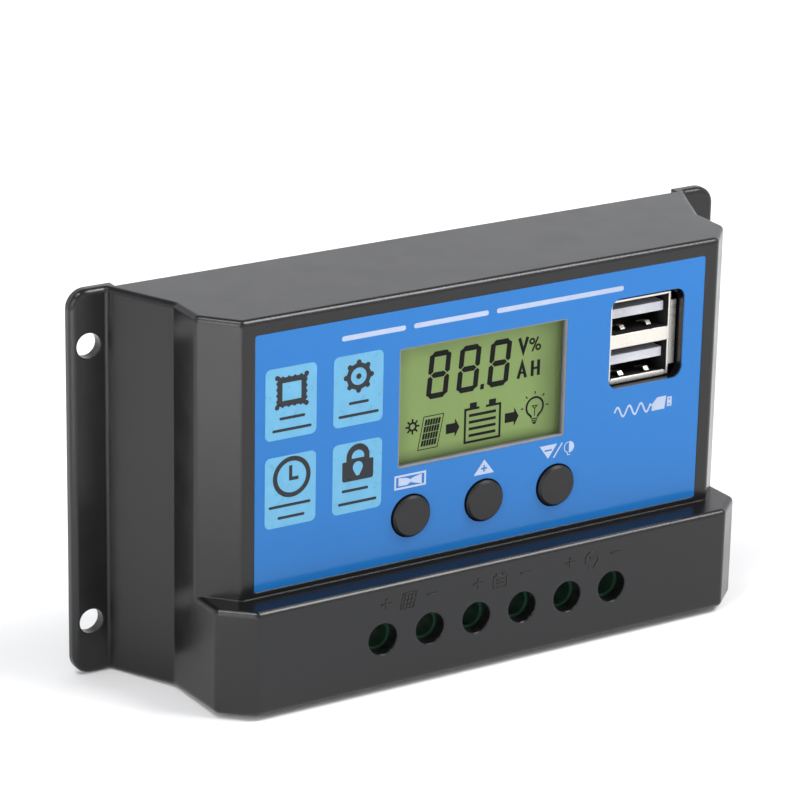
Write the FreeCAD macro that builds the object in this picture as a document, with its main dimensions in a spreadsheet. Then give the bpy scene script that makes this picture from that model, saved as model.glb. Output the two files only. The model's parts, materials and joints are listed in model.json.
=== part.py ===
import FreeCAD, Part
import Sketcher
import math
import os
import re

# Wall-mounted solar charge controller, millimetres, +Z up.
# Origin: centre of the four wall-screw holes, on the rear face. The front faces -Y.

SIZES = {
    # moulded front housing: half outline seen from above, depths measured forward from the rear face
    "case_height": 70.0,
    "ear_half": 66.75,
    "ear_depth": 2.0,
    "ear_corner": 3.4,
    "flank_rear_half": 60.0,
    "side_half": 54.0,
    "flank_depth": 14.5,
    "bevel_depth": 22.0,
    "bevel_half": 48.5,
    "front_depth": 28.0,
    "lower_bevel_depth": 29.0,
    "lower_front_depth": 34.0,
    "lower_height": 19.95,
    "long_edge_round": 1.2,
    "rim_round": 1.0,
    "ear_root_round": 0.4,
    "upper_end": 35.0,
    "draft_reach": 40.0,
    "draft_upper": 34.41,
    "draft_lower": 33.81,
    "ledge_round": 1.0,
    # inside of the housing
    "floor_wall": 2.4,
    "inner_front_depth": 25.6,
    "lower_inner_front_depth": 31.5,
    "inner_rear_half": 56.4,
    "inner_half": 51.6,
    "inner_bevel_depth": 21.0,
    "inner_bevel_half": 47.4,
    "lower_inner_bevel_depth": 27.9,
    # wall-screw holes in the ears
    "ear_hole_across": 63.4,
    "ear_hole_up": 25.15,
    "ear_hole_radius": 2.25,
    # rear heat-sink plate and its screws
    "plate_half": 58.2,
    "plate_half_height": 33.9,
    "plate_corner": 1.0,
    "seat_half": 58.3,
    "seat_half_height": 36.0,
    "plate_screw_across": 50.4,
    "plate_screw_up": 29.9,
    "plate_boss_radius": 3.0,
    "plate_boss_length": 18.0,
    "plate_screw_radius": 1.2,
    "plate_screw_head": 2.7,
    "plate_screw_length": 9.0,
    "plate_pilot_radius": 1.25,
    "screw_play": 0.05,
    # printed overlay on the front
    "label_left": -46.0,
    "label_right": 45.8,
    "label_low": -14.0,
    "label_high": 31.8,
    "label_corner": 0.5,
    "label_recess": 0.35,
    "label_thickness": 0.3,
    # display window and display stack
    "window_left": -17.8,
    "window_right": 16.6,
    "window_low": 3.1,
    "window_high": 24.8,
    "window_corner": 0.5,
    "glass_margin": 2.1,
    "glass_front": 26.5,
    "glass_thickness": 2.2,
    "holder_wall": 1.3,
    "holder_front": 25.5,
    "backlight_thickness": 3.0,
    "zebra_width": 1.6,
    # charging sockets
    "usb_window_left": 25.75,
    "usb_window_right": 41.7,
    "usb_window_low": 9.85,
    "usb_window_high": 26.6,
    "usb_window_corner": 2.0,
    "usb_across": 33.5,
    "usb_up": 17.85,
    "usb_width": 13.0,
    "usb_stack": 15.5,
    "usb_front": 26.0,
    "usb_skin": 0.4,
    "usb_divider": 2.5,
    "usb_flange_width": 1.3,
    "usb_flange_length": 12.0,
    "usb_flange_set": 0.1,
    "usb_port_length": 9.6,
    "usb_tongue_width": 11.5,
    "usb_tongue_thickness": 1.7,
    "usb_tongue_length": 8.4,
    "usb_tongue_offset": 0.55,
    "usb_contact_pitch": 2.3,
    "usb_contact_width": 1.0,
    "usb_contact_thickness": 0.25,
    # circuit board, its bosses and screws
    "board_half": 46.8,
    "board_half_height": 31.0,
    "board_front": 10.2,
    "board_thickness": 1.6,
    "board_screw_across": 43.0,
    "board_screw_up": 27.3,
    "board_boss_radius": 2.8,
    "board_screw_radius": 1.2,
    "board_screw_head": 2.4,
    "board_screw_head_height": 1.6,
    "board_screw_length": 8.0,
    "board_pilot_radius": 1.25,
    "board_hole_radius": 1.5,
    # push buttons and their switches
    "button_pitch": 15.0,
    "button_down": 5.9,
    "button_radius": 3.75,
    "button_hole_radius": 4.0,
    "button_front": 28.75,
    "button_flange_radius": 4.6,
    "button_flange_front": 25.5,
    "button_flange_rear": 24.5,
    "button_skirt": 21.5,
    "button_shoulder": 28.35,
    "button_face_radius": 3.35,
    "stem_radius": 1.6,
    "stem_front": 27.0,
    "stem_rear": 11.8,
    "switch_size": 6.0,
    "switch_height": 3.5,
    "switch_bore": 1.65,
    "switch_bore_depth": 2.7,
    # screw terminals
    "terminal_pitch": 9.55,
    "terminal_down": 24.9,
    "terminal_hole_radius": 2.85,
    "hole_lip": 0.25,
    "entry_half": 3.7,
    "entry_front": 20.2,
    "entry_rear": 10.8,
    "block_front": 31.3,
    "block_low": 32.3,
    "block_high": 18.2,
    "well_radius": 2.4,
    "well_floor": 25.3,
    "shelf_rear": 24.3,
    "cage_room_half": 3.3,
    "cage_room_rear": 11.2,
    "cage_room_high": 21.2,
    "terminal_head_radius": 2.3,
    "terminal_head_height": 1.6,
    "screw_slot_half": 0.4,
    "screw_cross_half": 1.5,
    "screw_slot_depth": 1.0,
    "terminal_screw_radius": 1.9,
    "terminal_screw_tip": 18.75,
    "thread_play": 0.05,
    "cage_half": 3.2,
    "cage_inner_half": 2.6,
    "cage_front": 20.3,
    "cage_nut": 1.6,
    "cage_rear": 11.4,
    "cage_floor": 0.8,
    "cage_low": 29.0,
    "cage_high": 21.5,
    "bar_half": 2.5,
    "bar_front": 18.6,
    "bar_thickness": 1.0,
    "bar_low": 31.0,
    "bar_high": 18.9,
    "leg_half": 1.5,
    "leg_reach": 7.4,
    "slot_play": 0.05,
    # power transistors on the heat-sink plate
    "transistor_pitch": 13.5,
    "transistor_down": 12.0,
    "transistor_width": 10.0,
    "transistor_body": 9.2,
    "transistor_tab": 6.3,
    "tab_thickness": 1.3,
    "transistor_thickness": 4.4,
    "tab_hole_radius": 1.8,
    "lead_pitch": 2.54,
    "lead_width": 0.8,
    "lead_reach": 3.2,
    "pad_thickness": 0.3,
    "pad_half": 42.0,
    # larger parts on the board
    "can_across": 36.5,
    "can_up": 8.0,
    "can_radius": 5.0,
    "can_height": 13.5,
    "can_sleeve": 0.2,
    "choke_across": 38.0,
    "choke_down": 8.0,
    "choke_radius": 5.0,
    "choke_waist": 2.6,
    "choke_height": 7.0,
    "choke_flange": 1.2,
    "chip_size": 10.0,
    "chip_thickness": 1.5,
    "chip_across": 31.0,
    "chip_down": 12.0,
    "regulator_width": 3.9,
    "regulator_length": 4.9,
    "regulator_across": 26.0,
    "regulator_down": 6.0,
    "shunt_span": 13.0,
    "shunt_rise": 4.0,
    "shunt_width": 3.0,
    "shunt_thickness": 1.0,
    "shunt_down": 14.5,
    "diode_length": 4.6,
    "diode_width": 2.7,
    "diode_height": 2.3,
    "diode_pitch": 7.5,
    "diode_up": 24.0,
    "diode_across": 25.0,
    "resistor_length": 3.2,
    "resistor_width": 1.6,
    "resistor_height": 0.6,
    "resistor_pitch": 5.0,
    "resistor_down": 11.0,
}

TERMINALS = ["solar_plus", "solar_minus", "battery_plus", "battery_minus", "load_plus", "load_minus"]
BUTTONS = ["menu", "up", "down"]

doc = FreeCAD.newDocument("charge_controller")
sheet = doc.addObject("Spreadsheet::Sheet", "Sizes")
for row, (alias, size) in enumerate(SIZES.items(), 1):
    sheet.set(f"A{row}", alias)
    sheet.set(f"B{row}", str(size))
    sheet.setAlias(f"B{row}", alias)
doc.recompute()

subparts = []


# ---------------------------------------------------------------- helpers

def bind(item, prop, formula):
    """Bind a property to a formula of sheet aliases."""
    item.setExpression(prop, re.sub(r"[a-z_]{3,}", r"Sizes.\g<0>", formula))


def value(name):
    """Number behind an alias, which may carry a leading minus sign."""
    sign = -1.0 if name.startswith("-") else 1.0
    return sign * sheet.get(name.lstrip("-"))


def finished(item, label):
    """Mark an object as a sub-part that is exported under its label."""
    item.Label = label
    subparts.append(item)
    return item


def block(name, x_low, x_high, y_low, y_high, z_low, z_high):
    """Box between six formulas."""
    box = doc.addObject("Part::Box", name)
    bind(box, "Length", f"({x_high}) - ({x_low})")
    bind(box, "Width", f"({y_high}) - ({y_low})")
    bind(box, "Height", f"({z_high}) - ({z_low})")
    bind(box, "Placement.Base.x", x_low)
    bind(box, "Placement.Base.y", y_low)
    bind(box, "Placement.Base.z", z_low)
    return box


def peg(name, radius, x, y_low, y_high, z):
    """Cylinder whose axis runs along +Y."""
    rod = doc.addObject("Part::Cylinder", name)
    rod.Placement.Rotation = FreeCAD.Rotation(FreeCAD.Vector(1, 0, 0), -90)
    bind(rod, "Radius", radius)
    bind(rod, "Height", f"({y_high}) - ({y_low})")
    bind(rod, "Placement.Base.x", x)
    bind(rod, "Placement.Base.y", y_low)
    bind(rod, "Placement.Base.z", z)
    return rod


def together(name, pieces):
    """Several separate solids as one object."""
    group = doc.addObject("Part::Compound", name)
    group.Links = pieces
    return group


def cut(name, base, tools):
    """Base minus every tool."""
    result = doc.addObject("Part::Cut", name)
    result.Base = base
    result.Tool = tools[0] if len(tools) == 1 else together(name + "_tools", tools)
    return result


def fuse(name, first, second):
    result = doc.addObject("Part::Fuse", name)
    result.Base = first
    result.Tool = second
    return result


def new_body(name):
    return doc.addObject("PartDesign::Body", name)


def new_sketch(body, name, plane, offset):
    """Sketch parallel to an origin plane, moved along the plane's normal by a formula."""
    sketch = body.newObject("Sketcher::SketchObject", name)
    origin_plane = [item for item in body.Origin.OriginFeatures if item.Role == plane][0]
    sketch.AttachmentSupport = [(origin_plane, "")]
    sketch.MapMode = "FlatFace"
    bind(sketch, "AttachmentOffset.Base.z", offset)
    return sketch


def hold_point(sketch, geometry, end, x, y):
    """Fix one end of a sketch element at two signed aliases, or on an axis where one is '0'."""
    for axis, kind, coordinate in ((-2, "DistanceX", x), (-1, "DistanceY", y)):
        if coordinate == "0":
            sketch.addConstraint(Sketcher.Constraint("PointOnObject", geometry, end, axis))
            continue
        index = sketch.addConstraint(Sketcher.Constraint(kind, -1, 1, geometry, end, value(coordinate)))
        label = f"{kind}_{geometry}_{end}"
        sketch.renameConstraint(index, label)
        bind(sketch, f"Constraints.{label}", coordinate)


def polygon(sketch, corners):
    """Closed outline through corners given as pairs of signed aliases."""
    places = []
    for x, y in corners:
        places.append(FreeCAD.Vector(0 if x == "0" else value(x), 0 if y == "0" else value(y), 0))
    first = len(sketch.Geometry)
    count = len(corners)
    for index in range(count):
        sketch.addGeometry(Part.LineSegment(places[index], places[(index + 1) % count]), False)
    for index in range(count):
        follower = first + (index + 1) % count
        sketch.addConstraint(Sketcher.Constraint("Coincident", first + index, 2, follower, 1))
        hold_point(sketch, first + index, 1, *corners[index])


def rounded_rectangle(sketch, left, right, low, high, corner):
    """Rectangle between four signed aliases, with equal tangent corner arcs."""
    x_low, x_high, y_low, y_high = (value(name) for name in (left, right, low, high))
    radius = value(corner)
    first = len(sketch.Geometry)
    sides = [
        ((x_low + radius, y_low), (x_high - radius, y_low)),
        ((x_high, y_low + radius), (x_high, y_high - radius)),
        ((x_high - radius, y_high), (x_low + radius, y_high)),
        ((x_low, y_high - radius), (x_low, y_low + radius)),
    ]
    centres = [
        (x_high - radius, y_low + radius),
        (x_high - radius, y_high - radius),
        (x_low + radius, y_high - radius),
        (x_low + radius, y_low + radius),
    ]
    for start, end in sides:
        sketch.addGeometry(Part.LineSegment(FreeCAD.Vector(*start, 0), FreeCAD.Vector(*end, 0)), False)
    for quarter, centre in enumerate(centres):
        circle = Part.Circle(FreeCAD.Vector(*centre, 0), FreeCAD.Vector(0, 0, 1), radius)
        start = (quarter - 1) * math.pi / 2
        sketch.addGeometry(Part.ArcOfCircle(circle, start, start + math.pi / 2), False)
    for side in range(4):
        arc = first + 4 + side
        sketch.addConstraint(Sketcher.Constraint("Tangent", first + side, 2, arc, 1))
        sketch.addConstraint(Sketcher.Constraint("Tangent", arc, 2, first + (side + 1) % 4, 1))
        direction = "Vertical" if side % 2 else "Horizontal"
        sketch.addConstraint(Sketcher.Constraint(direction, first + side))
    for side in range(1, 4):
        sketch.addConstraint(Sketcher.Constraint("Equal", first + 4, first + 4 + side))
    index = sketch.addConstraint(Sketcher.Constraint("Radius", first + 4, radius))
    sketch.renameConstraint(index, f"Corner_{first}")
    bind(sketch, f"Constraints.Corner_{first}", corner)
    for side, kind, name in ((0, "DistanceY", low), (1, "DistanceX", right),
                             (2, "DistanceY", high), (3, "DistanceX", left)):
        index = sketch.addConstraint(Sketcher.Constraint(kind, -1, 1, first + side, 1, value(name)))
        sketch.renameConstraint(index, f"Side_{first}_{side}")
        bind(sketch, f"Constraints.Side_{first}_{side}", name)


def circles(sketch, radius, centres):
    """Equal circles; each centre is a pair of (formula, number) pairs."""
    for (x_formula, x_value), (y_formula, y_value) in centres:
        place = FreeCAD.Vector(x_value, y_value, 0)
        ring = sketch.addGeometry(Part.Circle(place, FreeCAD.Vector(0, 0, 1), value(radius)), False)
        index = sketch.addConstraint(Sketcher.Constraint("Radius", ring, value(radius)))
        sketch.renameConstraint(index, f"Radius_{ring}")
        bind(sketch, f"Constraints.Radius_{ring}", radius)
        for kind, formula, number, axis in (("DistanceX", x_formula, x_value, -2),
                                            ("DistanceY", y_formula, y_value, -1)):
            if number == 0:
                sketch.addConstraint(Sketcher.Constraint("PointOnObject", ring, 3, axis))
                continue
            index = sketch.addConstraint(Sketcher.Constraint(kind, -1, 1, ring, 3, number))
            sketch.renameConstraint(index, f"{kind}_{ring}")
            bind(sketch, f"Constraints.{kind}_{ring}", formula)


def four_corners(across, up):
    """Centres of a pattern that is symmetric in X and Z."""
    centres = []
    for x_sign in ("-", ""):
        for z_sign in ("-", ""):
            x_name = x_sign + across
            z_name = z_sign + up
            centres.append(((x_name, value(x_name)), (z_name, value(z_name))))
    return centres


def terminal_x(index):
    """Formula and number for the place of a terminal along X."""
    steps = index - 2.5
    return f"{steps} * terminal_pitch", steps * value("terminal_pitch")


def button_x(index):
    steps = index - 1
    return f"{steps} * button_pitch", steps * value("button_pitch")


def pad(body, sketch, name, length, symmetric=False):
    feature = body.newObject("PartDesign::Pad", name)
    feature.Profile = sketch
    if symmetric:
        feature.SideType = "Symmetric"
    bind(feature, "Length", length)
    return feature


def pocket(body, sketch, name, length, reverse=False):
    feature = body.newObject("PartDesign::Pocket", name)
    feature.Profile = sketch
    feature.Reversed = reverse
    bind(feature, "Length", length)
    return feature


def fillet(body, name, radius, accepts):
    """Fillet every edge of the body's tip that the test accepts."""
    doc.recompute()
    base = body.Tip
    names = [f"Edge{number}" for number, edge in enumerate(base.Shape.Edges, 1) if accepts(edge)]
    rounded = body.newObject("PartDesign::Fillet", name)
    rounded.Base = (base, names)
    bind(rounded, "Radius", radius)
    body.Tip = rounded


def round_edges(body, name, radius, wanted):
    """Fillet the open edges whose two end points pass the test."""
    def accepts(edge):
        ends = [vertex.Point for vertex in edge.Vertexes]
        return len(ends) == 2 and wanted(ends[0], ends[1])
    fillet(body, name, radius, accepts)


def round_lips(body, name, radius, hole_radius, depth):
    """Fillet the circular edges of holes of one radius at one depth."""
    def accepts(edge):
        if edge.Degenerated or edge.Curve.TypeId != "Part::GeomCircle":
            return False
        curve = edge.Curve
        return same(curve.Radius, value(hole_radius)) and same(curve.Center.y, -value(depth))
    fillet(body, name, radius, accepts)


def same(first, second):
    return abs(first - second) < 0.01


def mirrored(half):
    """Outline that is symmetric in X from its right-hand corners, listed rear to front."""
    left = []
    for x, y in reversed(half):
        left.append(("-" + x, y))
    return half + left


# ---------------------------------------------------------------- front housing

def housing_outside(body):
    """Deep ribbed box with thin ears; its lower part stands further forward over the terminals."""
    outline = new_sketch(body, "section_outline", "XY_Plane", "0")
    polygon(outline, mirrored([
        ("ear_half", "0"),
        ("ear_half", "-ear_depth"),
        ("flank_rear_half", "-ear_depth"),
        ("side_half", "-flank_depth"),
        ("side_half", "-bevel_depth"),
        ("bevel_half", "-front_depth"),
    ]))
    pad(body, outline, "upper_section", "case_height", symmetric=True)
    lower = new_sketch(body, "lower_outline", "XY_Plane", "-case_height / 2")
    polygon(lower, mirrored([
        ("side_half", "-flank_depth"),
        ("side_half", "-lower_bevel_depth"),
        ("bevel_half", "-lower_front_depth"),
    ]))
    pad(body, lower, "lower_section", "lower_height")


def housing_draft(body):
    """Mould draft: the upper and lower end faces lean in towards the front, in front of the ears."""
    wedges = new_sketch(body, "draft_outline", "YZ_Plane", "0")
    for sign, end in (("", "draft_upper"), ("-", "draft_lower")):
        polygon(wedges, [
            ("-ear_depth", sign + "upper_end"),
            ("-draft_reach", sign + "upper_end"),
            ("-draft_reach", sign + end),
        ])
    wedge_cut = pocket(body, wedges, "draft", "3 * ear_half")
    wedge_cut.SideType = "Symmetric"


def end_level(y, end):
    """Height of an end face at a depth, from the draft line."""
    run = value("draft_reach") - value("ear_depth")
    lean = (value("upper_end") - value(end)) / run
    return value("upper_end") - lean * max(0.0, -y - value("ear_depth"))


def housing_rounding(body):
    """Rounded long edges and ledge first, then the rims that run around them."""
    half = value("case_height") / 2

    def on_end_face(point):
        end = "draft_upper" if point.z > 0 else "draft_lower"
        return abs(abs(point.z) - end_level(point.y, end)) < 0.02

    def upright_at(start, end, *depths):
        upright = same(start.x, end.x) and same(start.y, end.y)
        return upright and any(same(-start.y, value(depth)) for depth in depths)

    def lower_edge(start, end):
        return upright_at(start, end, "lower_bevel_depth", "lower_front_depth")

    def upper_edge(start, end):
        return upright_at(start, end, "flank_depth", "bevel_depth", "front_depth")

    def ear_root(start, end):
        return upright_at(start, end, "ear_depth") and same(abs(start.x), value("flank_rear_half"))

    def ear_corner(start, end):
        level = same(start.x, end.x) and same(start.z, end.z)
        return level and same(abs(start.x), value("ear_half"))

    def rim(start, end):
        on_end = on_end_face(start) and on_end_face(end) and start.z * end.z > 0
        forward = start.y < -0.5 and end.y < -0.5
        on_ear = same(start.y, -value("ear_depth")) and same(end.y, start.y)
        outside = abs(start.x) > value("flank_rear_half") + 2 and abs(end.x) > value("flank_rear_half") + 2
        return forward and (on_end or (on_ear and outside))

    def ledge(start, end):
        top = value("lower_height") - half
        on_top = same(start.z, top) and same(end.z, top)
        return on_top and min(start.y, end.y) < -value("front_depth") - 0.5

    round_edges(body, "lower_edges", "long_edge_round", lower_edge)
    round_edges(body, "ledge_rim", "ledge_round", ledge)
    round_edges(body, "upper_edges", "long_edge_round", upper_edge)
    round_edges(body, "ear_roots", "ear_root_round", ear_root)
    round_edges(body, "ear_corners", "ear_corner", ear_corner)
    round_edges(body, "rims", "rim_round", rim)


def housing_inside(body):
    """Hollow for the electronics; the heat-sink plate lies between the ear roots, on the rear rim."""
    bottom = "-case_height / 2 + floor_wall"
    hollow = new_sketch(body, "hollow_outline", "XY_Plane", bottom)
    polygon(hollow, mirrored([
        ("inner_rear_half", "0"),
        ("inner_rear_half", "-ear_depth"),
        ("inner_half", "-flank_depth"),
        ("inner_half", "-inner_bevel_depth"),
        ("inner_bevel_half", "-inner_front_depth"),
    ]))
    pocket(body, hollow, "hollow", "case_height - 2 * floor_wall", reverse=True)
    lower = new_sketch(body, "lower_hollow_outline", "XY_Plane", bottom)
    polygon(lower, mirrored([
        ("inner_half", "-flank_depth"),
        ("inner_half", "-lower_inner_bevel_depth"),
        ("inner_bevel_half", "-lower_inner_front_depth"),
    ]))
    pocket(body, lower, "lower_hollow", "lower_height - 2 * floor_wall", reverse=True)
    seat = new_sketch(body, "plate_seat_outline", "XZ_Plane", "ear_depth")
    rounded_rectangle(seat, "-seat_half", "seat_half", "-seat_half_height", "seat_half_height",
                      "plate_corner")
    pocket(body, seat, "plate_seat", "ear_depth")


def housing_openings(body):
    """Windows, button holes, terminal holes, wire entries and the overlay's recess."""
    recess = new_sketch(body, "overlay_recess_outline", "XZ_Plane", "front_depth")
    rounded_rectangle(recess, "label_left", "label_right", "label_low", "label_high", "label_corner")
    pocket(body, recess, "overlay_recess", "label_recess")
    front = new_sketch(body, "front_openings_outline", "XZ_Plane", "front_depth")
    rounded_rectangle(front, "window_left", "window_right", "window_low", "window_high", "window_corner")
    rounded_rectangle(front, "usb_window_left", "usb_window_right", "usb_window_low", "usb_window_high",
                      "usb_window_corner")
    row = [(button_x(index), ("-button_down", -value("button_down"))) for index in range(3)]
    circles(front, "button_hole_radius", row)
    pocket(body, front, "front_openings", "front_depth - inner_front_depth + screw_play")
    holes = new_sketch(body, "terminal_holes_outline", "XZ_Plane", "lower_front_depth")
    row = [(terminal_x(index), ("-terminal_down", -value("terminal_down"))) for index in range(6)]
    circles(holes, "terminal_hole_radius", row)
    pocket(body, holes, "terminal_holes", "lower_front_depth - lower_inner_front_depth + screw_play")
    round_lips(body, "terminal_hole_lips", "hole_lip", "terminal_hole_radius", "lower_front_depth")
    ears = new_sketch(body, "ear_holes_outline", "XZ_Plane", "ear_depth")
    circles(ears, "ear_hole_radius", four_corners("ear_hole_across", "ear_hole_up"))
    pocket(body, ears, "ear_holes", "ear_depth")


def housing_bosses(body):
    """Posts for the board behind the front wall, and posts for the heat-sink plate at the rear."""
    centres = four_corners("board_screw_across", "board_screw_up")
    lower_pair = [centre for centre in centres if centre[1][1] < 0]
    upper_pair = [centre for centre in centres if centre[1][1] > 0]
    for name, pair, reach in (("lower", lower_pair, "lower_inner_front_depth"),
                              ("upper", upper_pair, "inner_front_depth")):
        posts = new_sketch(body, f"{name}_board_posts_outline", "XZ_Plane", "board_front")
        circles(posts, "board_boss_radius", pair)
        pad(body, posts, f"{name}_board_posts", f"{reach} - board_front + screw_play")
    pilots = new_sketch(body, "board_pilots_outline", "XZ_Plane", "board_front + board_screw_length")
    circles(pilots, "board_pilot_radius", centres)
    pocket(body, pilots, "board_pilots", "board_screw_length")
    posts = new_sketch(body, "plate_posts_outline", "XZ_Plane", "ear_depth")
    circles(posts, "plate_boss_radius", four_corners("plate_screw_across", "plate_screw_up"))
    pad(body, posts, "plate_posts", "plate_boss_length")
    pilots = new_sketch(body, "plate_pilots_outline", "XZ_Plane", "ear_depth + plate_screw_length")
    circles(pilots, "plate_pilot_radius", four_corners("plate_screw_across", "plate_screw_up"))
    pocket(body, pilots, "plate_pilots", "plate_screw_length")


def make_front_housing():
    body = new_body("front_housing_body")
    housing_outside(body)
    housing_draft(body)
    housing_rounding(body)
    housing_inside(body)
    housing_bosses(body)
    housing_openings(body)
    entries = []
    for index in range(6):
        x, _ = terminal_x(index)
        entries.append(block(f"wire_entry_{index}", f"{x} - entry_half", f"{x} + entry_half",
                             "-entry_front", "-entry_rear",
                             "-case_height / 2 - 1", "-case_height / 2 + floor_wall + 0.1"))
    glass_seat = block("glass_seat", "window_left - glass_margin - screw_play",
                       "window_right + glass_margin + screw_play", "-glass_front - screw_play",
                       "-inner_front_depth + 1", "window_low - glass_margin - screw_play",
                       "window_high + glass_margin + screw_play")
    finished(cut("front_housing", body, entries + [glass_seat]), "front_housing")


# ---------------------------------------------------------------- rear plate, board and overlay

def make_back_plate():
    """Aluminium heat-sink plate that closes the rear, held by four countersunk screws."""
    body = new_body("back_plate_body")
    outline = new_sketch(body, "plate_outline", "XZ_Plane", "0")
    rounded_rectangle(outline, "-plate_half", "plate_half", "-plate_half_height", "plate_half_height",
                      "plate_corner")
    pad(body, outline, "plate", "ear_depth")
    cones = []
    for number, ((x, _), (z, _)) in enumerate(four_corners("plate_screw_across", "plate_screw_up")):
        cone = doc.addObject("Part::Cone", f"countersink_{number}")
        cone.Placement.Rotation = FreeCAD.Rotation(FreeCAD.Vector(1, 0, 0), 90)
        bind(cone, "Radius1", "plate_screw_head")
        bind(cone, "Radius2", "plate_pilot_radius")
        bind(cone, "Height", "ear_depth")
        bind(cone, "Placement.Base.x", x)
        bind(cone, "Placement.Base.z", z)
        cones.append(cone)
    finished(cut("back_plate", body, cones), "back_plate")


def screw(name, place, head_radius, head_low, head_high, shank_radius, shank_end, countersunk=False):
    """Cross-recessed screw along Y; its head lies between two depths and its shank runs forward."""
    x, z = place
    if countersunk:
        head = doc.addObject("Part::Cone", name + "_head")
        head.Placement.Rotation = FreeCAD.Rotation(FreeCAD.Vector(1, 0, 0), 90)
        bind(head, "Radius1", f"{head_radius} - screw_play")
        bind(head, "Radius2", shank_radius)
        bind(head, "Height", f"({head_high}) - ({head_low})")
        bind(head, "Placement.Base.x", x)
        bind(head, "Placement.Base.y", head_high)
        bind(head, "Placement.Base.z", z)
    else:
        head = peg(name + "_head", head_radius, x, head_low, head_high, z)
    shank = peg(name + "_shank", shank_radius, x, shank_end, head_low, z)
    whole = fuse(name + "_blank", head, shank)
    recess = []
    for turned, (half_x, half_z) in enumerate((("0.35", "1.1"), ("1.1", "0.35"))):
        recess.append(block(f"{name}_recess_{turned}", f"{x} - {half_x}", f"{x} + {half_x}",
                            f"{head_high} - 0.9", f"{head_high} + 0.1",
                            f"{z} - {half_z}", f"{z} + {half_z}"))
    return cut(name, whole, recess)


def make_plate_screws():
    screws = []
    for number, ((x, _), (z, _)) in enumerate(four_corners("plate_screw_across", "plate_screw_up")):
        screws.append(screw(f"plate_screw_{number}", (x, z), "plate_screw_head", "-ear_depth", "0",
                            "plate_screw_radius", "-plate_screw_length", countersunk=True))
    finished(together("back_plate_screws", screws), "back_plate_screws")


def make_board_screws():
    rear = "-board_front + board_thickness"
    screws = []
    for number, ((x, _), (z, _)) in enumerate(four_corners("board_screw_across", "board_screw_up")):
        screws.append(screw(f"board_screw_{number}", (x, z), "board_screw_head", rear,
                            f"{rear} + board_screw_head_height", "board_screw_radius",
                            "-board_front - board_screw_length + 0.5"))
    finished(together("board_screws", screws), "board_screws")


def make_circuit_board():
    """Board in front of the heat-sink plate, drilled for its screws and slotted for the terminal legs."""
    board = block("board_blank", "-board_half", "board_half", "-board_front",
                  "-board_front + board_thickness", "-board_half_height", "board_half_height")
    tools = []
    for number, ((x, _), (z, _)) in enumerate(four_corners("board_screw_across", "board_screw_up")):
        tools.append(peg(f"board_hole_{number}", "board_hole_radius", x, "-board_front - 1",
                         "-board_front + board_thickness + 1", z))
    for index in range(6):
        x, _ = terminal_x(index)
        tools.append(block(f"leg_slot_{index}", f"{x} - leg_half - slot_play", f"{x} + leg_half + slot_play",
                           "-board_front - 1", "-board_front + board_thickness + 1",
                           "-bar_high - bar_thickness - slot_play", "-bar_high + slot_play"))
    finished(cut("circuit_board", board, tools), "circuit_board")


def make_label_overlay():
    """Printed plastic sheet in its recess, open at the display, the sockets and the buttons."""
    body = new_body("label_overlay")
    outline = new_sketch(body, "label_outline", "XZ_Plane", "front_depth - label_recess")
    rounded_rectangle(outline, "label_left", "label_right", "label_low", "label_high", "label_corner")
    rounded_rectangle(outline, "window_left", "window_right", "window_low", "window_high", "window_corner")
    rounded_rectangle(outline, "usb_window_left", "usb_window_right", "usb_window_low", "usb_window_high",
                      "usb_window_corner")
    row = [(button_x(index), ("-button_down", -value("button_down"))) for index in range(3)]
    circles(outline, "button_hole_radius", row)
    pad(body, outline, "label_sheet", "label_thickness")
    finished(body, "label_overlay")


# ---------------------------------------------------------------- display

def make_display():
    """Glass cell behind the window, in a frame that stands on the board, over a white light guide."""
    left = "window_left - glass_margin"
    right = "window_right + glass_margin"
    low = "window_low - glass_margin"
    high = "window_high + glass_margin"
    glass_rear = "-glass_front + glass_thickness"
    glass = block("lcd_glass", left, right, "-glass_front", glass_rear, low, high)
    finished(glass, "lcd_glass")
    holder = block("lcd_holder_blank", f"{left} - holder_wall", f"{right} + holder_wall",
                   "-holder_front", "-board_front", f"{low} - holder_wall", f"{high} + holder_wall")
    room = block("lcd_holder_room", left, right, "-holder_front - 1", "-board_front + 1", low, high)
    finished(cut("lcd_holder", holder, [room]), "lcd_holder")
    guide = block("lcd_backlight", f"{left} + zebra_width", f"{right} - zebra_width", glass_rear,
                  f"{glass_rear} + backlight_thickness", f"{low} + zebra_width", f"{high} - zebra_width")
    finished(guide, "lcd_backlight")
    strips = []
    for name, strip_low in (("lower", low), ("upper", f"{high} - zebra_width")):
        strips.append(block(f"zebra_{name}", left, right, glass_rear, "-board_front",
                            strip_low, f"{strip_low} + zebra_width"))
    finished(together("lcd_contact_strips", strips), "lcd_contact_strips")


# ---------------------------------------------------------------- charging sockets

def port_level(number):
    """Formula for the middle of a port; 0 is the lower one."""
    sign = "-" if number == 0 else "+"
    return f"usb_up {sign} (usb_stack + usb_divider - 2 * usb_skin) / 4"


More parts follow.
